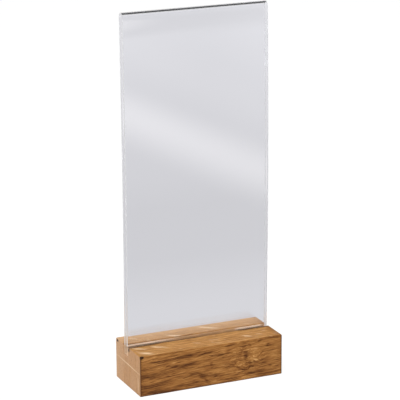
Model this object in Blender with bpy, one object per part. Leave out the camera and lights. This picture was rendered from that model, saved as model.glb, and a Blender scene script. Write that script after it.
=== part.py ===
"""Table sign stand: a solid oak block and a clear acrylic pocket.

A slot is sawn along the whole length of the block's top, a little behind its
middle. The pocket is one acrylic sheet folded double over a round top bend. Its
two open feet stand in the slot, and a printed card slides in between them from
the side. The pocket is held by nothing but the slot and lifts straight out.

Units are metres. +Z is up, +X runs along the block, and the sign is read from
-Y. The origin is the middle of the block's underside.
"""

from math import cos, pi, radians, sin

import bmesh
import bpy

# --- driving dimensions ------------------------------------------------------

OVERALL_HEIGHT = 0.243        # table to the top of the fold

BLOCK_LENGTH = 0.100
BLOCK_DEPTH = 0.041
BLOCK_HEIGHT = 0.027
BLOCK_EDGE_CHAMFER = 0.0004   # sanded arris on every outer edge

SLOT_WIDTH = 0.0078
SLOT_DEPTH = 0.007
SLOT_CENTRE_Y = 0.0035        # the slot lies this far behind the block's middle

SHEET_THICKNESS = 0.002
FOLD_INNER_RADIUS = 0.001     # half of the pocket's gap at the top
HOLDER_LENGTH = 0.099         # takes a card 99 mm wide
HOLDER_EDGE_CHAMFER = 0.00015
FRONT_BOW = 0.0019            # how far each sheet bows to the front at mid-height
BACK_BOW = 0.0012
FRONT_TOE_IN = 0.0006         # the front sheet's foot closes in on the back sheet

CLEARANCE = 0.0003            # between the pocket's feet and the slot they rest in

# --- fineness of the curves --------------------------------------------------

SHEET_STEPS = 18              # straight stretches up each bowed sheet
FOLD_STEPS = 16               # stretches round the fold's outside
FOLD_INNER_STEPS = 8

# --- sizes that follow -------------------------------------------------------

FOLD_OUTER_RADIUS = FOLD_INNER_RADIUS + SHEET_THICKNESS
SLOT_FRONT_Y = SLOT_CENTRE_Y - SLOT_WIDTH / 2
SLOT_BACK_Y = SLOT_CENTRE_Y + SLOT_WIDTH / 2
SLOT_FLOOR_Z = BLOCK_HEIGHT - SLOT_DEPTH

FOOT_Z = SLOT_FLOOR_Z + CLEARANCE
FOLD_CENTRE_Z = OVERALL_HEIGHT - FOLD_OUTER_RADIUS
HOLDER_CENTRE_Y = SLOT_BACK_Y - CLEARANCE - FOLD_OUTER_RADIUS
SHEET_HEIGHT = FOLD_CENTRE_Z - FOOT_Z

# --- surfaces ----------------------------------------------------------------

OAK_COLOUR = (0.34, 0.165, 0.062, 1.0)
OAK_ROUGHNESS = 0.55
ACRYLIC_COLOUR = (0.93, 0.94, 0.96, 1.0)
ACRYLIC_ROUGHNESS = 0.03
ACRYLIC_IOR = 1.49
ACRYLIC_ALPHA = 0.3

SMOOTH_ANGLE = radians(30)
CORNER_ANGLE = radians(60)    # edges turning more than this are chamfered


def clear_scene():
    """Remove every object that the file opened with."""
    for old in list(bpy.data.objects):
        bpy.data.objects.remove(old, do_unlink=True)


def surface(name, colour, roughness):
    """A Principled material with one colour and roughness; returns it and its shader."""
    material = bpy.data.materials.new(name)
    material.use_nodes = True
    shader = material.node_tree.nodes["Principled BSDF"]
    shader.inputs["Base Color"].default_value = colour
    shader.inputs["Roughness"].default_value = roughness
    shader.inputs["Metallic"].default_value = 0.0
    return material, shader


def oak_surface():
    """Oiled oak."""
    material, _ = surface("oak", OAK_COLOUR, OAK_ROUGHNESS)
    return material


def acrylic_surface():
    """Clear cast acrylic."""
    material, shader = surface("clear_acrylic", ACRYLIC_COLOUR, ACRYLIC_ROUGHNESS)
    shader.inputs["IOR"].default_value = ACRYLIC_IOR
    shader.inputs["Transmission Weight"].default_value = 1.0
    shader.inputs["Alpha"].default_value = ACRYLIC_ALPHA
    return material


def chamfer_corners(bm, width):
    """Take a flat chamfer off every outward edge that turns a real corner."""
    bm.normal_update()
    corners = [
        edge
        for edge in bm.edges
        if edge.is_convex and edge.calc_face_angle() > CORNER_ANGLE
    ]
    bmesh.ops.bevel(
        bm,
        geom=corners,
        offset=width,
        offset_type="OFFSET",
        segments=1,
        affect="EDGES",
        clamp_overlap=True,
    )


def extruded(name, outline, length, chamfer, place, material):
    """A closed solid: an outline of (y, z) points run along X, centred on its place."""
    bm = bmesh.new()
    end = bm.faces.new([bm.verts.new((-length / 2, y, z)) for y, z in outline])
    grown = bmesh.ops.extrude_face_region(bm, geom=[end])["geom"]
    far_end = [item for item in grown if isinstance(item, bmesh.types.BMVert)]
    bmesh.ops.translate(bm, verts=far_end, vec=(length, 0.0, 0.0))
    bmesh.ops.recalc_face_normals(bm, faces=bm.faces)
    chamfer_corners(bm, chamfer)
    mesh = bpy.data.meshes.new(name)
    bm.to_mesh(mesh)
    bm.free()
    mesh.shade_smooth()
    mesh.set_sharp_from_angle(angle=SMOOTH_ANGLE)
    mesh.materials.append(material)
    piece = bpy.data.objects.new(name, mesh)
    piece.location = place
    bpy.context.scene.collection.objects.link(piece)
    return piece


def block_outline():
    """The block's cross-section: a rectangle with the slot cut down from its top."""
    front = -BLOCK_DEPTH / 2
    back = BLOCK_DEPTH / 2
    return [
        (front, 0.0),
        (back, 0.0),
        (back, BLOCK_HEIGHT),
        (SLOT_BACK_Y, BLOCK_HEIGHT),
        (SLOT_BACK_Y, SLOT_FLOOR_Z),
        (SLOT_FRONT_Y, SLOT_FLOOR_Z),
        (SLOT_FRONT_Y, BLOCK_HEIGHT),
        (front, BLOCK_HEIGHT),
    ]


def arc(radius, start, end, steps):
    """Points inside an arc round the fold's centre, its two ends left out."""
    points = []
    for i in range(1, steps):
        angle = start + (end - start) * i / steps
        points.append((radius * cos(angle), SHEET_HEIGHT + radius * sin(angle)))
    return points


def sheet_line(side, radius, bow, toe_in):
    """One face of one sheet from its foot to the fold, as (y, z) points.

    side is -1 for the front sheet and +1 for the back one. The face stands
    radius from the pocket's middle plane at the fold, and is toe_in closer at
    its foot. Both sheets bow towards the front.
    """
    points = []
    for i in range(SHEET_STEPS + 1):
        part = i / SHEET_STEPS
        y = side * (radius - toe_in * (1 - part)) - bow * sin(pi * part)
        points.append((y, SHEET_HEIGHT * part))
    return points


def holder_outline():
    """The folded sheet's cross-section, an upside-down U, measured from its feet."""
    outer = FOLD_OUTER_RADIUS
    inner = FOLD_INNER_RADIUS
    front_outside = sheet_line(-1, outer, FRONT_BOW, FRONT_TOE_IN)
    front_inside = sheet_line(-1, inner, FRONT_BOW, FRONT_TOE_IN)
    back_outside = sheet_line(1, outer, BACK_BOW, 0.0)
    back_inside = sheet_line(1, inner, BACK_BOW, 0.0)
    return (
        front_outside
        + arc(outer, pi, 0.0, FOLD_STEPS)
        + back_outside[::-1]
        + back_inside
        + arc(inner, 0.0, pi, FOLD_INNER_STEPS)
        + front_inside[::-1]
    )


def main():
    clear_scene()
    extruded(
        "oak_base",
        block_outline(),
        BLOCK_LENGTH,
        BLOCK_EDGE_CHAMFER,
        (0.0, 0.0, 0.0),
        oak_surface(),
    )
    extruded(
        "acrylic_holder",
        holder_outline(),
        HOLDER_LENGTH,
        HOLDER_EDGE_CHAMFER,
        (0.0, HOLDER_CENTRE_Y, FOOT_Z),
        acrylic_surface(),
    )


main()
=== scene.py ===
"""The looks of the table sign stand: an oiled oak block and a clear acrylic pocket.

Lengths are metres in the part's own frame: +Z up, +X along the block, read from
-Y, origin in the middle of the block's underside.
"""

from math import atan2, cos, pi, radians, sin

import bmesh
import bpy
from mathutils import Matrix, Vector


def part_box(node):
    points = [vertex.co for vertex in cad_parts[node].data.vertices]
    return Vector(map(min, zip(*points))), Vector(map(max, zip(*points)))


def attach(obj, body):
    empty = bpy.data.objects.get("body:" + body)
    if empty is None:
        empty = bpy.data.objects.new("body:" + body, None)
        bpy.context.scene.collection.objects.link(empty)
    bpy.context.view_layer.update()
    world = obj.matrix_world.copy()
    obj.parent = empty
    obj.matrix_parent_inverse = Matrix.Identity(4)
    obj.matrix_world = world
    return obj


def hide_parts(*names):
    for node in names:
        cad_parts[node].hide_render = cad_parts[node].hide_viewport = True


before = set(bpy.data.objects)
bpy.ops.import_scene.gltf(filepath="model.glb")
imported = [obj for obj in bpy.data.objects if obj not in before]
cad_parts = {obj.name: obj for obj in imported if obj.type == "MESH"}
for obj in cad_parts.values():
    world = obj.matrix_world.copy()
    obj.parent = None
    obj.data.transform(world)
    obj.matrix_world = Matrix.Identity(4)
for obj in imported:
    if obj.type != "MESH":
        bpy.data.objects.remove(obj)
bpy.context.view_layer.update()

# --- the object's own sizes, from the frame ----------------------------------

BLOCK_LOW, BLOCK_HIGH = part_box("oak_base")
HOLDER_LOW, HOLDER_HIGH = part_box("acrylic_holder")


def slot_of(block):
    """The slot's front wall, back wall and floor, read from the block's own faces."""
    floor = [
        face
        for face in block.data.polygons
        if face.normal.z > 0.99 and face.center.z < BLOCK_HIGH.z - 0.001
    ]
    corners = [block.data.vertices[i].co for face in floor for i in face.vertices]
    walls = [corner.y for corner in corners]
    return min(walls), max(walls), corners[0].z


SLOT_FRONT, SLOT_BACK, SLOT_FLOOR = slot_of(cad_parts["oak_base"])

# --- camera ------------------------------------------------------------------

CAMERA_AZIMUTH = radians(-24.05)
CAMERA_ELEVATION = radians(15.85)
CAMERA_ROLL = radians(-0.34)
CAMERA_DISTANCE = 1.2936
CAMERA_ASIDE = 0.0005          # the aim lies this far right of the origin
CAMERA_ABOVE = 0.1144          # and this far above it, both in the picture plane
CAMERA_LENS = 178.07
CAMERA_SENSOR = 36.0


def camera_axes():
    """The camera's right, up and backward directions."""
    back = Vector((
        sin(CAMERA_AZIMUTH) * cos(CAMERA_ELEVATION),
        -cos(CAMERA_AZIMUTH) * cos(CAMERA_ELEVATION),
        sin(CAMERA_ELEVATION),
    ))
    right = Vector((0.0, 0.0, 1.0)).cross(back).normalized()
    up = back.cross(right)
    turned_right = cos(CAMERA_ROLL) * right + sin(CAMERA_ROLL) * up
    turned_up = cos(CAMERA_ROLL) * up - sin(CAMERA_ROLL) * right
    return turned_right, turned_up, back


def make_camera():
    right, up, back = camera_axes()
    data = bpy.data.cameras.new("camera")
    data.sensor_width = CAMERA_SENSOR
    data.lens = CAMERA_LENS
    data.clip_start = 0.01
    data.clip_end = 50.0
    camera = bpy.data.objects.new("camera", data)
    bpy.context.scene.collection.objects.link(camera)
    place = right * CAMERA_ASIDE + up * CAMERA_ABOVE + back * CAMERA_DISTANCE
    turn = Matrix((right, up, back)).transposed().to_4x4()
    camera.matrix_world = Matrix.Translation(place) @ turn
    bpy.context.scene.camera = camera


make_camera()

# --- node helpers ------------------------------------------------------------


class Tree:
    """Short calls for building a node tree."""

    def __init__(self, tree):
        self.tree = tree
        tree.nodes.clear()

    def node(self, kind, **settings):
        made = self.tree.nodes.new(kind)
        for key, value in settings.items():
            setattr(made, key, value)
        return made

    def feed(self, socket, value):
        if isinstance(value, bpy.types.NodeSocket):
            self.tree.links.new(value, socket)
        else:
            socket.default_value = value

    def math(self, operation, a, b=0.0, c=0.0, clamp=False):
        made = self.node("ShaderNodeMath", operation=operation, use_clamp=clamp)
        for socket, value in zip(made.inputs, (a, b, c)):
            self.feed(socket, value)
        return made.outputs[0]

    def vector(self, operation, a, b=(0.0, 0.0, 0.0)):
        made = self.node("ShaderNodeVectorMath", operation=operation)
        self.feed(made.inputs[0], a)
        self.feed(made.inputs[1], b)
        return made.outputs[0]

    def scaled(self, vector, factor):
        made = self.node("ShaderNodeVectorMath", operation="SCALE")
        self.feed(made.inputs[0], vector)
        self.feed(made.inputs["Scale"], factor)
        return made.outputs[0]

    def rotated(self, vector, turn):
        made = self.node("ShaderNodeVectorRotate", rotation_type="EULER_XYZ")
        self.feed(made.inputs["Vector"], vector)
        self.feed(made.inputs["Rotation"], turn)
        return made.outputs[0]

    def length(self, vector):
        made = self.node("ShaderNodeVectorMath", operation="LENGTH")
        self.feed(made.inputs[0], vector)
        return made.outputs["Value"]

    def axis(self, vector, index):
        made = self.node("ShaderNodeSeparateXYZ")
        self.feed(made.inputs[0], vector)
        return made.outputs[index]

    def combine(self, x, y, z):
        made = self.node("ShaderNodeCombineXYZ")
        for socket, value in zip(made.inputs, (x, y, z)):
            self.feed(socket, value)
        return made.outputs[0]

    def centred(self, value):
        return self.math("SUBTRACT", value, 0.5)

    def mapping(self, vector, place=(0, 0, 0), scale=(1, 1, 1)):
        made = self.node("ShaderNodeMapping")
        self.feed(made.inputs["Vector"], vector)
        self.feed(made.inputs["Location"], place)
        self.feed(made.inputs["Scale"], scale)
        return made.outputs[0]

    def noise_node(self, vector, scale, detail, rough):
        made = self.node("ShaderNodeTexNoise")
        self.feed(made.inputs["Vector"], vector)
        self.feed(made.inputs["Scale"], scale)
        self.feed(made.inputs["Detail"], detail)
        self.feed(made.inputs["Roughness"], rough)
        return made

    def noise(self, vector, scale, detail=2.0, rough=0.5):
        return self.noise_node(vector, scale, detail, rough).outputs["Fac"]

    def noise_vector(self, vector, scale, detail=2.0, rough=0.5):
        return self.noise_node(vector, scale, detail, rough).outputs["Color"]

    def remap(self, value, low, high, to_low=0.0, to_high=1.0):
        made = self.node("ShaderNodeMapRange", interpolation_type="SMOOTHSTEP")
        for name, setting in (
            ("Value", value),
            ("From Min", low),
            ("From Max", high),
            ("To Min", to_low),
            ("To Max", to_high),
        ):
            self.feed(made.inputs[name], setting)
        return made.outputs[0]

    def ramp(self, value, stops):
        made = self.node("ShaderNodeValToRGB")
        self.feed(made.inputs[0], value)
        elements = made.color_ramp.elements
        while len(elements) < len(stops):
            elements.new(0.5)
        for element, (place, colour) in zip(elements, stops):
            element.position = place
            element.color = (*colour, 1.0)
        return made.outputs[0]

    def mix(self, factor, a, b, blend="MIX"):
        made = self.node("ShaderNodeMix", data_type="RGBA", blend_type=blend)
        self.feed(made.inputs[0], factor)
        for socket, value in ((made.inputs[6], a), (made.inputs[7], b)):
            if isinstance(value, tuple) and len(value) == 3:
                value = (*value, 1.0)
            self.feed(socket, value)
        return made.outputs[2]

    def bump(self, height, distance, strength):
        made = self.node("ShaderNodeBump")
        made.inputs["Distance"].default_value = distance
        made.inputs["Strength"].default_value = strength
        self.feed(made.inputs["Height"], height)
        return made.outputs[0]

    def diffuse(self, grey):
        made = self.node("ShaderNodeBsdfDiffuse")
        made.inputs["Color"].default_value = (grey, grey, grey, 1.0)
        return made.outputs[0]

    def emission(self, colour, strength):
        made = self.node("ShaderNodeEmission")
        if isinstance(colour, tuple):
            colour = (*colour, 1.0)
        self.feed(made.inputs["Color"], colour)
        made.inputs["Strength"].default_value = strength
        return made.outputs[0]

    def backdrop(self, grey):
        made = self.node("ShaderNodeBackground")
        if isinstance(grey, bpy.types.NodeSocket):
            self.tree.links.new(grey, made.inputs["Color"])
        else:
            made.inputs["Color"].default_value = (grey, grey, grey, 1.0)
        return made.outputs[0]

    def add(self, a, b):
        made = self.node("ShaderNodeAddShader")
        self.feed(made.inputs[0], a)
        self.feed(made.inputs[1], b)
        return made.outputs[0]

    def choose(self, factor, a, b):
        made = self.node("ShaderNodeMixShader")
        self.feed(made.inputs[0], factor)
        self.feed(made.inputs[1], a)
        self.feed(made.inputs[2], b)
        return made.outputs[0]

    def finish(self, shader):
        out = self.node("ShaderNodeOutputMaterial")
        self.tree.links.new(shader, out.inputs["Surface"])


def new_material(name):
    material = bpy.data.materials.new(name)
    material.use_nodes = True
    return material, Tree(material.node_tree)


# --- oak ---------------------------------------------------------------------
#
# One solid texture, so that rings, fibres and flecks meet at every edge. Its
# lengths are millimetres, and its places are in the part's own frame.

PER_METRE = 1000.0
LEFT = BLOCK_LOW.x * PER_METRE
RIGHT = BLOCK_HIGH.x * PER_METRE
FRONT = BLOCK_LOW.y * PER_METRE
BACK = BLOCK_HIGH.y * PER_METRE
TOP = BLOCK_HIGH.z * PER_METRE
GROOVE_FRONT = SLOT_FRONT * PER_METRE
GROOVE_BACK = SLOT_BACK * PER_METRE
GROOVE_FLOOR = SLOT_FLOOR * PER_METRE

# How the tree grew.
RING_WIDTH = 2.9
RING_WANDER = 9.0              # the rings stray this far from true circles
PITH = (0.0, 96.0, -38.0)      # a point on the tree's middle line, behind and below
PITH_TURN = (0.0, radians(2.0), radians(-3.0))
FIBRE_RISE = 0.060             # the fibres climb this much for each mm to the right
KNOT = (24.0, -24.0, 15.0)     # a pin knot just under the front face
KNOT_CORE = 2.0
KNOT_REACH = 17.0
STIR = 1.0                     # how far the fibres wander,
KNOT_STIR = 10.0               # and how much further round the knot
NUDGE = 3.6                    # how far the edges of flecks and patches wander

# The wood's own tones, dark to pale, and how far along that scale each lies.
DARKEST = (0.090, 0.030, 0.007)
DARK = (0.265, 0.108, 0.027)
MIDDLE = (0.425, 0.198, 0.056)
GOLDEN = (0.590, 0.312, 0.104)
PALEST = (0.720, 0.455, 0.200)
WOOD_TONES = (
    (0.0, DARKEST),
    (0.27, DARK),
    (0.52, MIDDLE),
    (0.78, GOLDEN),
    (1.0, PALEST),
)
PLAIN_TONE = 0.60              # where the scale stands before grain and figure
FRONT_PAINTED_SHADE = -0.13           # and how far the flat-sawn front lies below that, as painted shade
FIGURE_STRENGTH = 0.44

FLECK = (0.95, 0.76, 0.53)
FLECK_STRENGTH = 0.85
FRONT_SHADE_TINT = (0.96, 0.90, 0.80)  # painted shade: the front face is tinted darker and deeper
BACK_PAINTED_LIGHT = (0.86, 0.60, 0.40)  # painted light: paler, pinker wood behind the slot
BACK_LIGHT_RANGE = (0.30, 0.50)       # its strength at the slot and at the back edge
END_GRAIN = (0.545, 0.318, 0.172)
SAWN_AND_LIGHTENED = (0.80, 0.52, 0.30)        # fresh wood on the slot's walls, lightened as painted light against the slot's shade
PAINTED_HIGHLIGHT = (1.0, 0.77, 0.57)         # paler still: a painted highlight line near the top of the walls
END_SAWN = (0.46, 0.270, 0.150)  # the walls where they reach the block's ends
PAINTED_SHADE = (0.060, 0.024, 0.007)   # painted shade: a dark brown line in the slot and along its front lip
BRUISE = (0.022, 0.010, 0.005)   # the dark of a crushed corner

# The slot's walls, with a painted highlight line above a painted shade line.
SHADE_LINE_DEPTH = 1.95            # of the painted shade line, below the top
HIGHLIGHT_ABOVE = (-1.20, -0.90)    # the painted highlight starts this far above the painted shade line,
RIGHT_HIGHLIGHT_RISE = 0.7          # and this much higher at the right end
LEFT_STRETCH = (-30.0, -8.0)   # both lines are strong to the left of this,
RIGHT_STRETCH = (27.0, 31.0)   # and again to the right of this,
END_STRETCH = (46.5, 49.0)     # but hardly where the slot runs out at either end
WALL_MARGIN = 0.15             # the walls' colour fades over this much past a corner

# Painted shade along the slot's front lip, standing for the shadowed gap in front of the
# sheet.
LIP_SHADE_WIDE_FROM = -36.0              # wide to the left of this, where the lip is worn,
LIP_SHADE_WIDE = 3.3               # where the painted shade is this wide
LIP_SHADE_NARROWS = 12.0              # it narrows over this length,
LIP_SHADE_WIDTH = 1.9                # to this width
LIP_SHADE_FADES = (-6.0, 14.0)  # it pales along this stretch,
LIP_SHADE_AGAIN = (25.0, 30.0)      # and is dark again after this one

# Ray flecks on the top face: x, y, half length, half width, strength.
RAY_TURN = radians(-36.0)
RAY_DEPTH = 4.0
RAYS = (
    (-11.0, 7.2, 12.5, 2.3, 1.5),
    (11.0, 15.4, 11.0, 1.9, 1.1),
    (-29.3, 4.6, 8.6, 1.9, 1.1),
    (-32.0, -7.4, 7.0, 1.2, 0.95),
    (-44.5, -6.2, 6.8, 1.3, 0.75),
    (-41.5, 15.4, 6.0, 1.7, 0.55),
    (-44.0, -15.0, 7.0, 2.4, 0.75),
    (28.5, -13.2, 4.2, 1.3, 0.75),
    (37.5, -12.4, 4.0, 1.1, 0.55),
    (24.0, 18.5, 4.5, 1.1, 0.50),
    (4.0, -10.0, 4.0, 0.9, 0.30),
)

# Two ray lines on the left end, and the bruised corners above them: each a
# centre, a turn and three half sizes.
END_RAY_ACROSS = ((LEFT, -1.0, 15.4), (radians(-1.5), 0.0, 0.0), (3.0, 30.0, 0.55))
END_RAY_UP = ((LEFT, -16.8, 7.0), (radians(3.0), 0.0, 0.0), (3.0, 0.55, 8.0))
FRONT_CHIP = ((LEFT + 0.6, FRONT, TOP - 0.5), (0.0, 0.0, 0.0), (2.5, 1.5, 1.7))
BACK_CHIP = ((LEFT, BACK - 3.0, TOP - 1.1), (0.0, 0.0, 0.0), (1.6, 2.0, 1.2))

# Dark and light patches of figure in the front face: x, z, half length, half
# height, slope in degrees, and how much darker (-) or lighter (+) the wood is.
FIGURE = (
    (-4.5, 22.2, 15.0, 0.8, 7.0, -0.75),
    (13.0, 25.8, 6.5, 1.6, 8.0, -0.60),
    (11.6, 22.0, 2.8, 3.2, 10.0, -0.44),
    (34.5, 25.2, 3.6, 1.6, 24.0, -0.55),
    (40.4, 22.0, 3.4, 2.4, -20.0, -0.50),
    (47.5, 25.4, 3.0, 1.4, 0.0, -0.40),
    (24.0, 16.8, 2.9, 5.2, 12.0, -0.56),
    (19.5, 17.6, 3.0, 2.6, -20.0, -0.30),
    (0.0, 14.6, 1.8, 2.0, -10.0, -0.45),
    (-7.2, 7.4, 6.2, 2.4, -34.0, -0.62),
    (-3.0, 3.6, 4.4, 1.8, -34.0, -0.40),
    (19.0, 8.8, 6.0, 1.3, -24.0, -0.70),
    (27.5, 4.6, 6.0, 1.1, -22.0, -0.55),
    (36.4, 9.8, 4.0, 1.6, -6.0, -0.55),
    (41.5, 7.2, 2.6, 1.0, 0.0, -0.45),
    (39.0, 2.2, 12.0, 1.5, 4.0, -0.40),
    (-30.0, 11.0, 44.0, 20.0, 2.0, -0.24),
    (-42.0, 3.0, 24.0, 7.0, -4.0, -0.46),
    (-30.0, 1.5, 14.0, 2.4, -4.0, -0.30),
    (-49.5, 12.0, 6.0, 14.0, 0.0, -0.32),
    (-44.0, 16.5, 12.0, 3.6, 2.0, -0.24),
    (-12.0, 17.2, 9.0, 2.6, 4.0, -0.26),
    (-26.0, 22.0, 24.0, 2.0, 3.0, -0.14),
    (-22.0, 9.4, 12.0, 1.8, 3.0, 0.30),
    (-32.0, 13.0, 14.0, 1.2, 3.0, 0.16),
    (-36.0, 25.2, 12.0, 1.6, 0.0, 0.24),
    (31.0, 20.0, 4.4, 2.2, 16.0, 0.40),
    (29.4, 14.6, 6.0, 4.6, 20.0, 0.42),
    (16.0, 18.6, 3.6, 2.6, 0.0, 0.16),
    (9.5, 12.6, 9.0, 3.0, 4.0, 0.40),
    (26.0, 24.6, 5.0, 1.4, 6.0, 0.30),
    (44.0, 13.0, 5.0, 10.0, 0.0, 0.34),
    (12.0, 4.4, 8.0, 1.4, 4.0, 0.26),
)
FIGURE_DEPTH = 5.0


def oval(t, place, centre, turn, half_sizes, core=0.1):
    """1 in the core of an egg-shaped patch, fading to 0 at its surface."""
    moved = t.vector("SUBTRACT", place, centre)
    turned = t.rotated(moved, turn)
    reach = t.length(t.vector("DIVIDE", turned, half_sizes))
    return t.remap(reach, core, 1.0, 1.0, 0.0)


def figure_tone(t, warped):
    """The dark and light patches of the front face, summed."""
    total = 0.0
    for x, z, half_length, half_height, slope, change in FIGURE:
        patch = oval(
            t,
            warped,
            (x, FRONT, z),
            (0.0, radians(slope), 0.0),
            (half_length, FIGURE_DEPTH, half_height),
        )
        total = t.math("MULTIPLY_ADD", patch, change, total)
    return total


def ray_flecks(t, warped):
    """The silvery flecks of the rays on the quarter-sawn top face."""
    total = 0.0
    for x, y, half_length, half_width, strength in RAYS:
        fleck = oval(
            t,
            warped,
            (x, y, TOP),
            (0.0, 0.0, -RAY_TURN),
            (half_length, half_width, RAY_DEPTH),
        )
        total = t.math("MULTIPLY_ADD", fleck, strength, total)
    small = t.rotated(warped, (0.0, 0.0, -RAY_TURN))
    small = t.noise(t.mapping(small, scale=(0.16, 0.9, 0.6)), 0.7, 2.0, 0.5)
    return t.math("MULTIPLY_ADD", t.remap(small, 0.60, 0.74), 0.32, total, clamp=True)


def growth_rings(t, warped):
    """Where in its year's growth a point lies, from 0 (spring) to 1 (autumn)."""
    from_pith = t.rotated(t.vector("SUBTRACT", warped, PITH), PITH_TURN)
    radius = t.length(t.vector("MULTIPLY", from_pith, (0.0, 1.0, 1.0)))
    slow = t.noise(t.mapping(warped, scale=(0.35, 1.0, 1.0)), 0.05, 2.0, 0.45)
    radius = t.math("MULTIPLY_ADD", t.centred(slow), RING_WANDER, radius)
    return t.math("FRACT", t.math("DIVIDE", radius, RING_WIDTH))


def sawn_faces(t):
    """1 on the block's two ends, and 1 on its flat-sawn front and back."""
    normal = t.node("ShaderNodeNewGeometry").outputs["Normal"]
    end_face = t.remap(t.math("ABSOLUTE", t.axis(normal, 0)), 0.5, 0.9)
    flat_sawn = t.remap(t.math("ABSOLUTE", t.axis(normal, 1)), 0.3, 0.8)
    return end_face, flat_sawn


def near_knot(t, mm):
    """1 in the pin knot, fading to 0 where its swirl ends."""
    from_knot = t.length(t.vector("SUBTRACT", mm, KNOT))
    return t.remap(from_knot, KNOT_CORE, KNOT_REACH, 1.0, 0.0)


def fibre_places(t, mm, knot):
    """Places that lean with the fibres, that also swirl, and that are only nudged."""
    rise = t.math("MULTIPLY", t.axis(mm, 0), -FIBRE_RISE)
    leaning = t.vector("ADD", mm, t.combine(0.0, 0.0, rise))
    stir = t.noise_vector(t.mapping(mm, scale=(0.55, 1.0, 1.0)), 0.16, 2.0, 0.5)
    stir = t.vector("SUBTRACT", stir, (0.5, 0.5, 0.5))
    swirl = t.math("MULTIPLY_ADD", knot, KNOT_STIR, STIR)
    warped = t.vector("ADD", leaning, t.scaled(stir, swirl))
    nudged = t.vector("ADD", mm, t.scaled(stir, NUDGE))
    return leaning, warped, nudged


def grain_lines(t, warped, place):
    """Long thin wavering lines along the fibres, which come and go."""
    field = t.noise(t.mapping(warped, place=place, scale=(0.075, 1.0, 1.0)), 0.52, 1.0, 0.5)
    line = t.remap(t.math("ABSOLUTE", t.centred(field)), 0.0, 0.045, 1.0, 0.0)
    shown = t.noise(t.mapping(warped, place=place, scale=(0.12, 0.6, 0.6)), 0.7, 1.0, 0.5)
    return t.math("MULTIPLY", line, t.remap(shown, 0.42, 0.60))


def in_slot(t, mm):
    """1 on the slot's sawn walls and floor, 0 on the finished faces."""
    y = t.axis(mm, 1)
    z = t.axis(mm, 2)
    low = t.remap(z, TOP - 0.30, TOP - 0.05, 1.0, 0.0)
    deep = t.remap(z, GROOVE_FLOOR - 2 * WALL_MARGIN, GROOVE_FLOOR - WALL_MARGIN)
    front = t.remap(y, GROOVE_FRONT - 2 * WALL_MARGIN, GROOVE_FRONT - WALL_MARGIN)
    back = t.remap(y, GROOVE_BACK + WALL_MARGIN, GROOVE_BACK + 2 * WALL_MARGIN, 1.0, 0.0)
    return t.math("MULTIPLY", t.math("MULTIPLY", low, deep), t.math("MULTIPLY", front, back))


def slot_colour(t, mm, wood):
    """Sawn wood, partly lightened as painted light, with a painted highlight line near the top
    and a painted shade line of dark brown below that.
    """
    x = t.axis(mm, 0)
    right_end = t.remap(x, *RIGHT_STRETCH)
    strong = t.math("ADD", t.remap(x, *LEFT_STRETCH, 1.0, 0.0), right_end, clamp=True)
    by_end = t.remap(t.math("ABSOLUTE", x), *END_STRETCH)

    wander = t.noise(t.mapping(mm, scale=(1.0, 0.0, 0.0)), 0.18, 2.0, 0.6)
    depth = t.math("SUBTRACT", TOP, t.axis(mm, 2))
    depth = t.math("MULTIPLY_ADD", t.centred(wander), 0.6, depth)
    past = t.math("SUBTRACT", depth, t.math("MULTIPLY_ADD", strong, -0.10, SHADE_LINE_DEPTH))

    # painted highlight: a pale line just above the painted shade line
    highlight_line = t.math("ADD", past, t.math("MULTIPLY", right_end, RIGHT_HIGHLIGHT_RISE))
    highlight_line = t.math("MULTIPLY", t.remap(highlight_line, *HIGHLIGHT_ABOVE), strong)
    highlight_line = t.math("MULTIPLY", highlight_line, t.math("MULTIPLY_ADD", by_end, -0.8, 1.0))
    sawn = t.mix(highlight_line, t.mix(0.35, SAWN_AND_LIGHTENED, wood), PAINTED_HIGHLIGHT)
    sawn = t.mix(t.math("MULTIPLY", by_end, 0.8), sawn, END_SAWN)

    # painted shade: a dark brown line below the highlight
    shade_line = t.remap(past, -0.10, 0.10)
    for share in (
        t.math("MULTIPLY_ADD", strong, 0.60, 0.10),
        t.remap(past, 0.8, 1.4, 1.0, 0.25),
        t.math("MULTIPLY_ADD", by_end, -0.85, 1.0),
    ):
        shade_line = t.math("MULTIPLY", shade_line, share)
    return t.mix(shade_line, sawn, PAINTED_SHADE)


def darkened_arrises(t, mm):
    """1 along the front face's upright arrises at the ends and 0.7 along its bottom arris,
    where the wood is darker, fading within a millimetre.
    """
    uneven = t.noise(mm, 0.55, 2.0, 0.6)
    x = t.math("ABSOLUTE", t.axis(mm, 0))
    y = t.math("MULTIPLY", t.axis(mm, 1), -1.0)
    reach = t.math("MULTIPLY_ADD", t.centred(uneven), 1.4, 1.45)
    from_end = t.math("SUBTRACT", RIGHT, x)
    from_front = t.math("SUBTRACT", BACK, y)
    upright = t.remap(t.math("MAXIMUM", from_end, from_front), 0.1, reach, 1.0, 0.0)
    foot = t.remap(t.math("MAXIMUM", t.axis(mm, 2), from_front), 0.1, reach, 1.0, 0.0)
    return t.math("MAXIMUM", upright, t.math("MULTIPLY", foot, 0.7))


def behind_slot(t, mm):
    """1 on the strip of wood behind the slot, 0 in front of it."""
    return t.remap(t.axis(mm, 1), GROOVE_BACK, GROOVE_BACK + 0.5)


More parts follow.
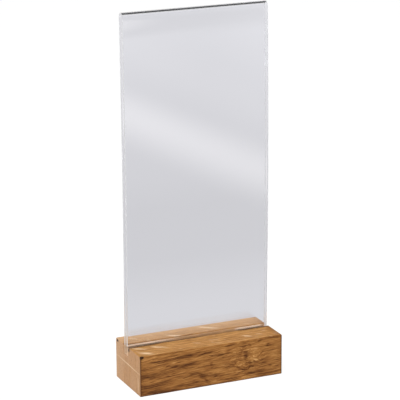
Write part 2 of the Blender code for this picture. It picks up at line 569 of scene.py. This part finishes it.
def lip_painted_shade(t, mm):
    """Painted shade on the slot's front lip: broad where the lip is worn, then a fading
    hairline.
    """
    x = t.axis(mm, 0)
    uneven = t.noise(t.mapping(mm, scale=(1.0, 0.4, 0.4)), 0.5, 2.0, 0.6)
    width = t.remap(x, LIP_SHADE_WIDE_FROM, LIP_SHADE_WIDE_FROM + LIP_SHADE_NARROWS, LIP_SHADE_WIDE, LIP_SHADE_WIDTH)
    width = t.math("MULTIPLY_ADD", t.centred(uneven), 1.5, width)
    from_lip = t.math("SUBTRACT", GROOVE_FRONT, t.axis(mm, 1))
    line = t.remap(t.math("DIVIDE", from_lip, width), 0.55, 1.0, 1.0, 0.0)
    line = t.math("MULTIPLY", line, t.remap(from_lip, -0.55, -0.30))
    fading = t.math("MULTIPLY_ADD", t.remap(x, *LIP_SHADE_FADES, 1.0, 0.0), 0.62, 0.28)
    again = t.remap(x, *LIP_SHADE_AGAIN)
    line = t.math("MULTIPLY", line, t.math("MAXIMUM", fading, again))
    return t.math("MULTIPLY", line, t.remap(t.axis(mm, 2), TOP - 3.0, TOP - 2.0))


def darker_right_end(t, mm):
    """1 where the top face darkens towards its right end."""
    uneven = t.noise(mm, 0.25, 2.0, 0.6)
    from_end = t.math("SUBTRACT", RIGHT, t.axis(mm, 0))
    from_end = t.math("MULTIPLY_ADD", t.centred(uneven), 6.0, from_end)
    return t.remap(from_end, 0.0, 6.0, 1.0, 0.0)


def grain_tone(t, warped, knot, streaks, fibres, season):
    """How far the grain's layers lighten (+) or darken (-) the wood, summed."""
    spring, autumn = season
    broad = t.noise(t.mapping(warped, scale=(0.05, 0.8, 0.8)), 0.5, 3.0, 0.55)
    dashes = t.mapping(warped, place=(31, 5, 2), scale=(0.12, 1.0, 1.0))
    dashes = t.noise(dashes, 1.35, 2.0, 0.6)
    tone = 0.0
    for layer, weight in (
        (t.centred(broad), 0.50),
        (t.centred(streaks), 1.25),
        (t.centred(dashes), t.math("MULTIPLY_ADD", knot, 0.7, 0.30)),
        (t.centred(fibres), 1.15),
        (grain_lines(t, warped, (3, 17, 40)), -0.28),
        (grain_lines(t, warped, (50, 9, 21)), 0.20),
        (spring, -0.20),
        (autumn, -0.12),
    ):
        tone = t.math("MULTIPLY_ADD", layer, weight, tone)
    return tone


def open_pores(t, leaning, spring):
    """The oak's open pores, drawn out along the fibres and thickest in spring wood."""
    field = t.noise(t.mapping(leaning, scale=(0.13, 1.0, 1.0)), 3.6, 1.0, 0.5)
    dense = t.math("MULTIPLY_ADD", spring, 0.7, 0.3)
    return t.math("MULTIPLY", t.remap(field, 0.63, 0.73), dense)


def face_colour(t, grain, figure, streaks, flat_sawn):
    """The colour of the long faces: grain and figure, stronger on the front, which is also
    darkened and tinted as painted shade.
    """
    for share in (
        t.math("MULTIPLY_ADD", flat_sawn, 0.75, 0.25),
        t.math("MULTIPLY_ADD", t.centred(streaks), 2.4, 1.0),
    ):
        figure = t.math("MULTIPLY", figure, share)
    contrast = t.math("MULTIPLY_ADD", flat_sawn, 0.25, 0.75)
    tone = t.math("MULTIPLY_ADD", grain, contrast, PLAIN_TONE)
    # painted shade: the front face sits lower on the tone scale, and is tinted deeper below
    tone = t.math("MULTIPLY_ADD", flat_sawn, FRONT_PAINTED_SHADE, tone)
    tone = t.math("MULTIPLY_ADD", figure, FIGURE_STRENGTH, tone, clamp=True)
    wood = t.ramp(tone, WOOD_TONES)
    return t.mix(flat_sawn, wood, t.mix(1.0, wood, FRONT_SHADE_TINT, "MULTIPLY"))


def top_details(t, mm, nudged, flat_sawn, wood):
    """The top face's darker right end, painted light on its strip behind the slot, and its
    rays.
    """
    on_top = t.math("SUBTRACT", 1.0, flat_sawn)
    darker = t.math("MULTIPLY", darker_right_end(t, mm), on_top)
    wood = t.mix(t.math("MULTIPLY", darker, 0.85), wood, DARK)
    # painted light: the strip behind the slot is paler and pinker, most at the back edge
    back_light = t.remap(t.axis(nudged, 1), GROOVE_BACK, BACK, *BACK_LIGHT_RANGE)
    back_light = t.math("MULTIPLY", back_light, on_top)
    wood = t.mix(t.math("MULTIPLY", back_light, behind_slot(t, mm)), wood, BACK_PAINTED_LIGHT)
    flecks = t.math("MULTIPLY", ray_flecks(t, nudged), on_top)
    return t.mix(t.math("MULTIPLY", flecks, FLECK_STRENGTH), wood, FLECK)


def end_grain(t, mm, wood):
    """The sawn ends: paler, banded across, dotted with pores, crossed by two rays."""
    bands = t.noise(t.mapping(mm, scale=(0.2, 1.0, 0.12)), 0.45, 3.0, 0.6)
    bands = t.math("MULTIPLY_ADD", t.centred(bands), 1.4, 0.30, clamp=True)
    wood = t.mix(bands, END_GRAIN, wood)
    pores = t.noise(t.mapping(mm, scale=(0.2, 1.0, 0.55)), 1.5, 2.0, 0.6)
    wood = t.mix(t.remap(pores, 0.50, 0.70, 0.0, 0.52), wood, DARK)
    rays = t.math("ADD", oval(t, mm, *END_RAY_ACROSS), oval(t, mm, *END_RAY_UP), clamp=True)
    return t.mix(t.math("MULTIPLY", rays, 0.6), wood, FLECK)


def wear_and_lip_shade(t, mm, flat_sawn, wood):
    """Bruised corners, darker arrises, and painted shade along the slot's front lip."""
    front_chip = oval(t, mm, *FRONT_CHIP, core=0.6)
    back_chip = oval(t, mm, *BACK_CHIP, core=0.5)
    darkened = t.math("MULTIPLY", darkened_arrises(t, mm), flat_sawn)
    for mark, colour in (
        (t.math("ADD", front_chip, back_chip, clamp=True), BRUISE),
        (darkened, DARKEST),
        # painted shade along the slot's front lip
        (lip_painted_shade(t, mm), PAINTED_SHADE),
    ):
        wood = t.mix(t.math("MULTIPLY", mark, 0.95), wood, colour)
    return wood


def oak_material():
    material, t = new_material("oak")
    place = t.node("ShaderNodeTexCoord").outputs["Object"]
    mm = t.mapping(place, scale=(PER_METRE, PER_METRE, PER_METRE))
    end_face, flat_sawn = sawn_faces(t)
    knot = near_knot(t, mm)
    leaning, warped, nudged = fibre_places(t, mm, knot)

    year = growth_rings(t, warped)
    spring = t.remap(year, 0.0, 0.30, 1.0, 0.0)
    autumn = t.remap(year, 0.45, 1.0)
    streaks = t.noise(t.mapping(warped, scale=(0.042, 1.0, 1.0)), 1.45, 3.0, 0.70)
    fibres = t.noise(t.mapping(leaning, scale=(0.05, 1.0, 1.0)), 2.6, 3.0, 0.65)
    pores = open_pores(t, leaning, spring)
    grain = grain_tone(t, warped, knot, streaks, fibres, (spring, autumn))

    wood = face_colour(t, grain, figure_tone(t, nudged), streaks, flat_sawn)
    wood = t.mix(t.math("MULTIPLY", pores, 0.5), wood, DARKEST)
    wood = top_details(t, mm, nudged, flat_sawn, wood)
    wood = t.mix(end_face, wood, end_grain(t, mm, wood))
    wood = wear_and_lip_shade(t, mm, flat_sawn, wood)
    wood = t.mix(in_slot(t, mm), wood, slot_colour(t, mm, wood))

    shader = t.node("ShaderNodeBsdfPrincipled")
    t.feed(shader.inputs["Base Color"], wood)
    gloss = t.math("MULTIPLY_ADD", t.centred(fibres), 0.3, 0.50)
    t.feed(shader.inputs["Roughness"], t.math("MULTIPLY_ADD", pores, 0.2, gloss))
    shader.inputs["Specular IOR Level"].default_value = 0.14
    height = t.math("MULTIPLY_ADD", pores, -1.0, t.math("MULTIPLY", fibres, 0.7))
    t.feed(shader.inputs["Normal"], t.bump(height, 0.00012, 0.5))
    t.finish(shader.outputs[0])
    return material


# --- acrylic -----------------------------------------------------------------

ACRYLIC_IOR = 1.49
CLEAR = (0.975, 0.98, 0.99)
FROSTED = (0.80, 0.805, 0.82)
SLOT_WOOD_REFLECTION = (0.50, 0.33, 0.195)  # painted reflection: the cut edges inside the slot take the wood's colour
SLOT_REFLECTION_ENDS = (-0.0006, 0.0002)    # from the block's top
CUT_CLEARNESS = 0.62             # how much light a frosted edge lets through
SHADOW_TINT = (0.97, 0.97, 0.98)  # light that falls through it stays nearly white


def acrylic_material(name, cut):
    """Clear acrylic with fine rubbing marks; a cut edge is frosted, and in the slot painted
    wood-coloured as a painted reflection of the wood around it.
    """
    material, t = new_material(name)
    place = t.node("ShaderNodeTexCoord").outputs["Object"]
    rub = t.noise(t.mapping(place, scale=(1.0, 1.0, 0.12)), 900.0, 3.0, 0.6)
    cloud = t.noise(place, 60.0, 2.0, 0.5)
    marks = t.math("MULTIPLY", t.remap(rub, 0.62, 0.80), t.remap(cloud, 0.45, 0.65))
    shader = t.node("ShaderNodeBsdfPrincipled")
    if cut:
        # painted reflection: inside the slot the cut edges turn wood-coloured and stop letting
        # light through
        reflection_low, reflection_high = (BLOCK_HIGH.z + end for end in SLOT_REFLECTION_ENDS)
        reflects_wood = t.remap(t.axis(place, 2), reflection_low, reflection_high, 1.0, 0.0)
        wood_seen = t.mix(t.remap(cloud, 0.3, 0.7), SLOT_WOOD_REFLECTION, SAWN_AND_LIGHTENED)
        t.feed(shader.inputs["Base Color"], t.mix(reflects_wood, FROSTED, wood_seen))
        clearness = t.math("MULTIPLY_ADD", reflects_wood, -CUT_CLEARNESS, CUT_CLEARNESS)
        t.feed(shader.inputs["Transmission Weight"], clearness)
        t.feed(shader.inputs["Roughness"], t.math("MULTIPLY_ADD", marks, 0.2, 0.30))
    else:
        shader.inputs["Base Color"].default_value = (*CLEAR, 1.0)
        shader.inputs["Transmission Weight"].default_value = 1.0
        t.feed(shader.inputs["Roughness"], t.math("MULTIPLY", marks, 0.04))
    shader.inputs["IOR"].default_value = ACRYLIC_IOR
    t.feed(shader.inputs["Normal"], t.bump(cloud, 0.00001, 0.15))
    ray = t.node("ShaderNodeLightPath")
    clear = t.node("ShaderNodeBsdfTransparent")
    clear.inputs["Color"].default_value = (*SHADOW_TINT, 1.0)
    t.finish(t.choose(ray.outputs["Is Shadow Ray"], shader.outputs[0], clear.outputs[0]))
    return material


# --- the acrylic pocket ------------------------------------------------------

SHEET = 0.002                  # thickness of the folded sheet
MID_RADIUS = 0.002             # of the bend, at the middle of the sheet
FRONT_BOW = 0.0019
BACK_BOW = 0.0012
FRONT_TOE_IN = 0.0006
MIDDLE_BULGE = 0.0014          # the front foot leans to the slot's lip near the middle
BULGE_PLACE = 0.012
BULGE_REACH = 0.026
CROWN = 0.00098                # the sheet is stretched thin over the fold
THINNING = 0.012               # and tapers to that over this height,
THINNING_CURVE = 1.3           # slowly at first
RISE_STEPS = 80
BEND_STEPS = 24
LENGTH_STEPS = 40
RIM = 0.00022                  # rounding of the polished rim

FOOT_Z = HOLDER_LOW.z
BEND_Z = HOLDER_HIGH.z - MID_RADIUS - SHEET / 2
POCKET_Y = HOLDER_HIGH.y - MID_RADIUS - SHEET / 2
POCKET_HALF = (HOLDER_HIGH.x - HOLDER_LOW.x) / 2


def stretched(z):
    """The sheet's thickness at height z."""
    share = min(1.0, max(0.0, (z - BEND_Z + THINNING) / THINNING))
    return SHEET - (SHEET - CROWN) * share ** THINNING_CURVE


def pocket_profile():
    """The folded sheet from front foot to back foot: (part of the height, side, outer, inner).

    side is -1 on the front sheet, 0 round the bend and 1 on the back sheet, and outer
    and inner are the two (y, z) points of the sheet's surfaces there.
    """
    rise = BEND_Z - FOOT_Z
    outer_radius = MID_RADIUS + SHEET / 2
    points = []
    for i in range(RISE_STEPS + 1):
        part = i / RISE_STEPS
        y = POCKET_Y - outer_radius
        y += FRONT_TOE_IN * (1 - part) - FRONT_BOW * sin(pi * part)
        z = FOOT_Z + rise * part
        points.append((part, -1, (y, z), (y + stretched(z), z)))
    inner_radius = outer_radius - CROWN
    for i in range(1, BEND_STEPS):
        angle = pi - pi * i / BEND_STEPS
        across = cos(angle)
        up = sin(angle)
        outer = (POCKET_Y + outer_radius * across, BEND_Z + outer_radius * up)
        inner = (POCKET_Y + inner_radius * across, BEND_Z + inner_radius * up)
        points.append((1.0, 0, outer, inner))
    for i in range(RISE_STEPS, -1, -1):
        part = i / RISE_STEPS
        y = POCKET_Y + outer_radius - BACK_BOW * sin(pi * part)
        z = FOOT_Z + rise * part
        points.append((part, 1, (y, z), (y - stretched(z), z)))
    return points


def grid_faces(bm, rows, cut):
    """Quads between neighbouring rows of vertices; cut marks the sawn ends and feet."""
    for low, high in zip(rows, rows[1:]):
        for a, b, c, d in zip(low, low[1:], high[1:], high):
            face = bm.faces.new((a, b, c, d))
            face.material_index = 1 if cut else 0


def make_pocket():
    bm = bmesh.new()
    outside, inside = [], []
    for part, side, outer, inner in pocket_profile():
        rows = ([], [])
        for j in range(LENGTH_STEPS + 1):
            x = -POCKET_HALF + 2 * POCKET_HALF * j / LENGTH_STEPS
            push = 0.0
            if side == -1:
                near = (x - BULGE_PLACE) / BULGE_REACH
                push = MIDDLE_BULGE * (1 - part) ** 3 / (1 + near ** 4)
            for row, (y, z) in zip(rows, (outer, inner)):
                row.append(bm.verts.new((x, y - push, z)))
        outside.append(rows[0])
        inside.append(rows[1])
    grid_faces(bm, outside, cut=False)
    grid_faces(bm, inside, cut=False)
    for end in (0, -1):
        grid_faces(bm, [outside[end], inside[end]], cut=True)
        grid_faces(bm, [[row[end] for row in side] for side in (outside, inside)], cut=True)
    bmesh.ops.recalc_face_normals(bm, faces=bm.faces)
    mesh = bpy.data.meshes.new("acrylic_pocket")
    bm.to_mesh(mesh)
    bm.free()
    mesh.shade_smooth()
    pocket = bpy.data.objects.new("acrylic_pocket", mesh)
    bpy.context.scene.collection.objects.link(pocket)
    rim = pocket.modifiers.new("rim", "BEVEL")
    rim.width = RIM
    rim.segments = 3
    rim.limit_method = "ANGLE"
    rim.angle_limit = radians(50)
    rim.harden_normals = True
    mesh.materials.append(acrylic_material("clear_acrylic", cut=False))
    mesh.materials.append(acrylic_material("acrylic_cut_edge", cut=True))
    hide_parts("acrylic_holder")
    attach(pocket, "holder")


make_pocket()

# --- the oak block -----------------------------------------------------------

ARRIS = 0.00038                # rounding of the sanded outer edges
ARRIS_STEPS = 4
FRONT_LIP = 0.00025            # the slot's front lip is nearly sharp
FRONT_LIP_WEAR = 0.0012        # but worn away at its left end
BACK_LIP = 0.0015              # the back one is eased, to lead the sheet in
WEAR_END = -0.030
FLOOR_FILLET = 0.0003
BLOCK_STEPS = 120
SUPPORT = 0.0019               # loops this far from the corners keep the faces flat
CHIPS = (                      # bruised corners: place, reach and depth
    (Vector((BLOCK_LOW.x, BLOCK_LOW.y, BLOCK_HIGH.z)), 0.0016, 0.0006),
    (Vector((BLOCK_LOW.x, BLOCK_HIGH.y, BLOCK_HIGH.z)), 0.0012, 0.0002),
)


def wavy(x, pitch, shift):
    """A small slow unevenness along the block, from -1 to 1."""
    return 0.6 * sin(x / pitch + shift) + 0.4 * sin(2.7 * x / pitch + 2.1 * shift)


def round_corner(before, corner, after, radius, steps):
    """Points that round off one right-angled corner of an outline."""
    back = (Vector(before) - Vector(corner)).normalized()
    on = (Vector(after) - Vector(corner)).normalized()
    centre = Vector(corner) + (back + on) * radius
    points = []
    for i in range(steps + 1):
        angle = pi / 2 * i / steps
        points.append(centre - radius * (cos(angle) * on + sin(angle) * back))
    return points


def block_section(x, inset):
    """The block's outline at x as (y, z) points, drawn in by inset at its two ends."""
    front = BLOCK_LOW.y + inset
    back = BLOCK_HIGH.y - inset
    low = BLOCK_LOW.z + inset
    top = BLOCK_HIGH.z - inset
    slot_front = SLOT_FRONT - inset
    slot_back = SLOT_BACK + inset
    slot_floor = SLOT_FLOOR - inset
    worn = max(0.0, (WEAR_END - x) / (WEAR_END - BLOCK_LOW.x)) ** 0.7
    front_lip = FRONT_LIP * (1 + 0.4 * wavy(x, 0.0025, 1.7))
    front_lip += FRONT_LIP_WEAR * worn * (1 + 0.15 * wavy(x, 0.002, 0.9))
    corners = (
        ((front, low), ARRIS * (1 + 0.25 * wavy(x, 0.004, 0.3))),
        ((back, low), ARRIS * (1 + 0.25 * wavy(x, 0.003, 3.1))),
        ((back, top), ARRIS * (1 + 0.25 * wavy(x, 0.005, 4.0))),
        ((slot_back, top), BACK_LIP * (1 + 0.08 * wavy(x, 0.006, 1.1))),
        ((slot_back, slot_floor), FLOOR_FILLET),
        ((slot_front, slot_floor), FLOOR_FILLET),
        ((slot_front, top), front_lip),
        ((front, top), ARRIS * (1 + 0.25 * wavy(x, 0.0045, 2.2))),
    )
    points = []
    for i, (corner, radius) in enumerate(corners):
        before = Vector(corners[i - 1][0])
        after = Vector(corners[(i + 1) % len(corners)][0])
        corner = Vector(corner)
        points.append(corner + (before - corner).normalized() * SUPPORT)
        points += round_corner(before, corner, after, radius, ARRIS_STEPS)
        points.append(corner + (after - corner).normalized() * SUPPORT)
    return points


def block_stations():
    """(x, inset) along the block: a rounded end, even steps, a rounded end."""
    ends = [(0.0, SUPPORT)]
    for i in range(ARRIS_STEPS + 1):
        angle = pi / 2 * i / ARRIS_STEPS
        ends.append((ARRIS * (1 - cos(angle)), ARRIS * (1 - sin(angle))))
    ends += [(SUPPORT * share, 0.0) for share in (0.4, 0.6, 0.8, 1.0)]
    inner = BLOCK_HIGH.x - SUPPORT
    middle = [(-inner + 2 * inner * i / BLOCK_STEPS, 0.0) for i in range(1, BLOCK_STEPS)]
    left = [(BLOCK_LOW.x + along, inset) for along, inset in ends]
    right = [(BLOCK_HIGH.x - along, inset) for along, inset in reversed(ends)]
    return left + middle + right


def chip(point):
    """The point, pushed in towards the block's middle where a corner is bruised."""
    for corner, reach, depth in CHIPS:
        near = 1 - (point - corner).length / reach
        if near > 0:
            point = point - corner.normalized() * depth * near ** 0.6
    return point


def make_block():
    bm = bmesh.new()
    loops = []
    for x, inset in block_stations():
        section = block_section(x, inset)
        loops.append([bm.verts.new(chip(Vector((x, y, z)))) for y, z in section])
    for near, far in zip(loops, loops[1:]):
        for i in range(len(near)):
            bm.faces.new((near[i - 1], near[i], far[i], far[i - 1]))
    bm.faces.new(loops[0])
    bm.faces.new(loops[-1])
    bmesh.ops.recalc_face_normals(bm, faces=bm.faces)
    mesh = bpy.data.meshes.new("oak_block")
    bm.to_mesh(mesh)
    bm.free()
    mesh.shade_smooth()
    mesh.set_sharp_from_angle(angle=radians(35))
    mesh.materials.append(oak_material())
    block = bpy.data.objects.new("oak_block", mesh)
    bpy.context.scene.collection.objects.link(block)
    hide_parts("oak_base")
    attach(block, "base")


make_block()

# --- floor, background and light ---------------------------------------------

# How bright the floor looks through the acrylic: (metres behind the stand, grey).
SWEEP_DEPTH = 1.5
SWEEP_TONES = (
    (0.00, 0.72),
    (0.14, 0.71),
    (0.24, 0.645),
    (0.37, 0.64),
    (0.46, 0.67),
    (0.85, 0.735),
    (1.18, 0.80),
    (1.50, 0.85),
)
LIGHT_STREAK_START = (0.233, 0.691)    # a soft painted streak of light in the sweep, seen through the sheet
LIGHT_STREAK_END = (0.256, 0.488)
LIGHT_STREAK_REACH = 0.076
LIGHT_STREAK_TONE = 0.150
LIGHT_STREAK_TINT = (1.0, 0.97, 0.90)
SWEEP_TINT = (0.985, 0.975, 1.01)
SIDE_LIFT = 0.045              # the far part of the sweep is this much paler to the right
SIDE_LIFT_WIDTH = 0.10
SIDE_LIFT_DEPTHS = (0.2, 0.6)  # as shares of the sweep's depth
MIRRORED_TONE = 0.80           # the floor in front, as the sheet mirrors it
ROOM_TONE = 0.05               # the dim room that the acrylic's fold and edges show
ROOM_DARKENS = (0.06, 0.16)    # it dims from the first height to the second; 1 is overhead
FILL_LIGHT = 0.50
FLOOR_GREY = 0.85
BOUNCES = 48                   # enough to see through every surface of the pocket


def sweep_tone(t):
    """The floor's painted brightness as seen through the acrylic: a soft gradient and one
    painted streak of light.
    """
    place = t.node("ShaderNodeTexCoord").outputs["Object"]
    behind = t.math("DIVIDE", t.axis(place, 1), SWEEP_DEPTH)
    stops = [(at / SWEEP_DEPTH, (grey, grey, grey)) for at, grey in SWEEP_TONES]
    tone = t.ramp(behind, stops)
    start = Vector((*LIGHT_STREAK_START, 0.0))
    along = Vector((*LIGHT_STREAK_END, 0.0)) - start
    moved = t.vector("SUBTRACT", place, tuple(start))
    turned = t.rotated(moved, (0.0, 0.0, -atan2(along.y, along.x)))
    across = t.math("MULTIPLY", t.axis(place, 0), cos(CAMERA_AZIMUTH))
    across = t.math("MULTIPLY_ADD", t.axis(place, 1), sin(CAMERA_AZIMUTH), across)
    lift = t.remap(across, 0.0, SIDE_LIFT_WIDTH, 0.0, SIDE_LIFT)
    lift = t.math("MULTIPLY", lift, t.remap(behind, *SIDE_LIFT_DEPTHS))
    # painted light: a soft pale streak across the sweep
    light_streak = t.remap(t.math("ABSOLUTE", t.axis(turned, 1)), 0.0, LIGHT_STREAK_REACH, LIGHT_STREAK_TONE, 0.0)
    tone = t.vector("ADD", tone, t.combine(lift, lift, lift))
    tone = t.vector("ADD", tone, t.scaled(LIGHT_STREAK_TINT, light_streak))
    return t.vector("MULTIPLY", tone, SWEEP_TINT)


def lighting_path(t):
    """1 for a ray that lights a surface, 0 for one that shows it to the camera."""
    depth = t.node("ShaderNodeLightPath").outputs["Diffuse Depth"]
    return t.math("GREATER_THAN", depth, 0.5)


def make_floor():
    """A pale floor that fades to white, and a soft grey sweep behind clear sheets."""
    bm = bmesh.new()
    bmesh.ops.create_grid(bm, x_segments=1, y_segments=1, size=6.0)
    mesh = bpy.data.meshes.new("floor")
    bm.to_mesh(mesh)
    bm.free()
    floor = bpy.data.objects.new("floor", mesh)
    bpy.context.scene.collection.objects.link(floor)
    material, t = new_material("pale_floor")
    plain = t.diffuse(FLOOR_GREY)
    white = t.add(t.emission((1.0, 1.0, 1.0), 0.93), t.diffuse(0.12))
    sweep = t.emission(sweep_tone(t), 1.0)
    ray = t.node("ShaderNodeLightPath")
    mirrored = t.emission((1.0, 1.0, 1.0), MIRRORED_TONE)
    shown = t.choose(ray.outputs["Is Camera Ray"], mirrored, white)
    shown = t.choose(ray.outputs["Is Transmission Ray"], shown, sweep)
    t.finish(t.choose(lighting_path(t), shown, plain))
    mesh.materials.append(material)


def make_world():
    """Even white light all round, but a dim room in what the acrylic mirrors and bends."""
    world = bpy.data.worlds.new("studio")
    world.use_nodes = True
    t = Tree(world.node_tree)
    ray = t.node("ShaderNodeLightPath")
    height = t.axis(t.node("ShaderNodeTexCoord").outputs["Generated"], 2)
    room = t.backdrop(t.remap(height, *ROOM_DARKENS, SWEEP_TONES[-1][1], ROOM_TONE))
    shown = t.choose(ray.outputs["Is Camera Ray"], room, t.backdrop(1.0))
    light = t.choose(lighting_path(t), shown, t.backdrop(FILL_LIGHT))
    out = t.node("ShaderNodeOutputWorld")
    t.feed(out.inputs["Surface"], light)
    bpy.context.scene.world = world


def make_light(name, place, aim, size, power):
    data = bpy.data.lights.new(name, "AREA")
    data.shape = "DISK"
    data.size = size
    data.energy = power
    light = bpy.data.objects.new(name, data)
    light.location = place
    light.rotation_euler = (Vector(aim) - Vector(place)).to_track_quat("-Z", "Y").to_euler()
    bpy.context.scene.collection.objects.link(light)


make_floor()
make_world()
make_light("key", place=(-0.55, -0.42, 1.20), aim=(0.0, 0.0, 0.05), size=0.8, power=13.5)
bpy.context.scene.view_settings.view_transform = "Standard"
cycles = bpy.context.scene.cycles
cycles.max_bounces = BOUNCES
cycles.transmission_bounces = BOUNCES
cycles.glossy_bounces = BOUNCES
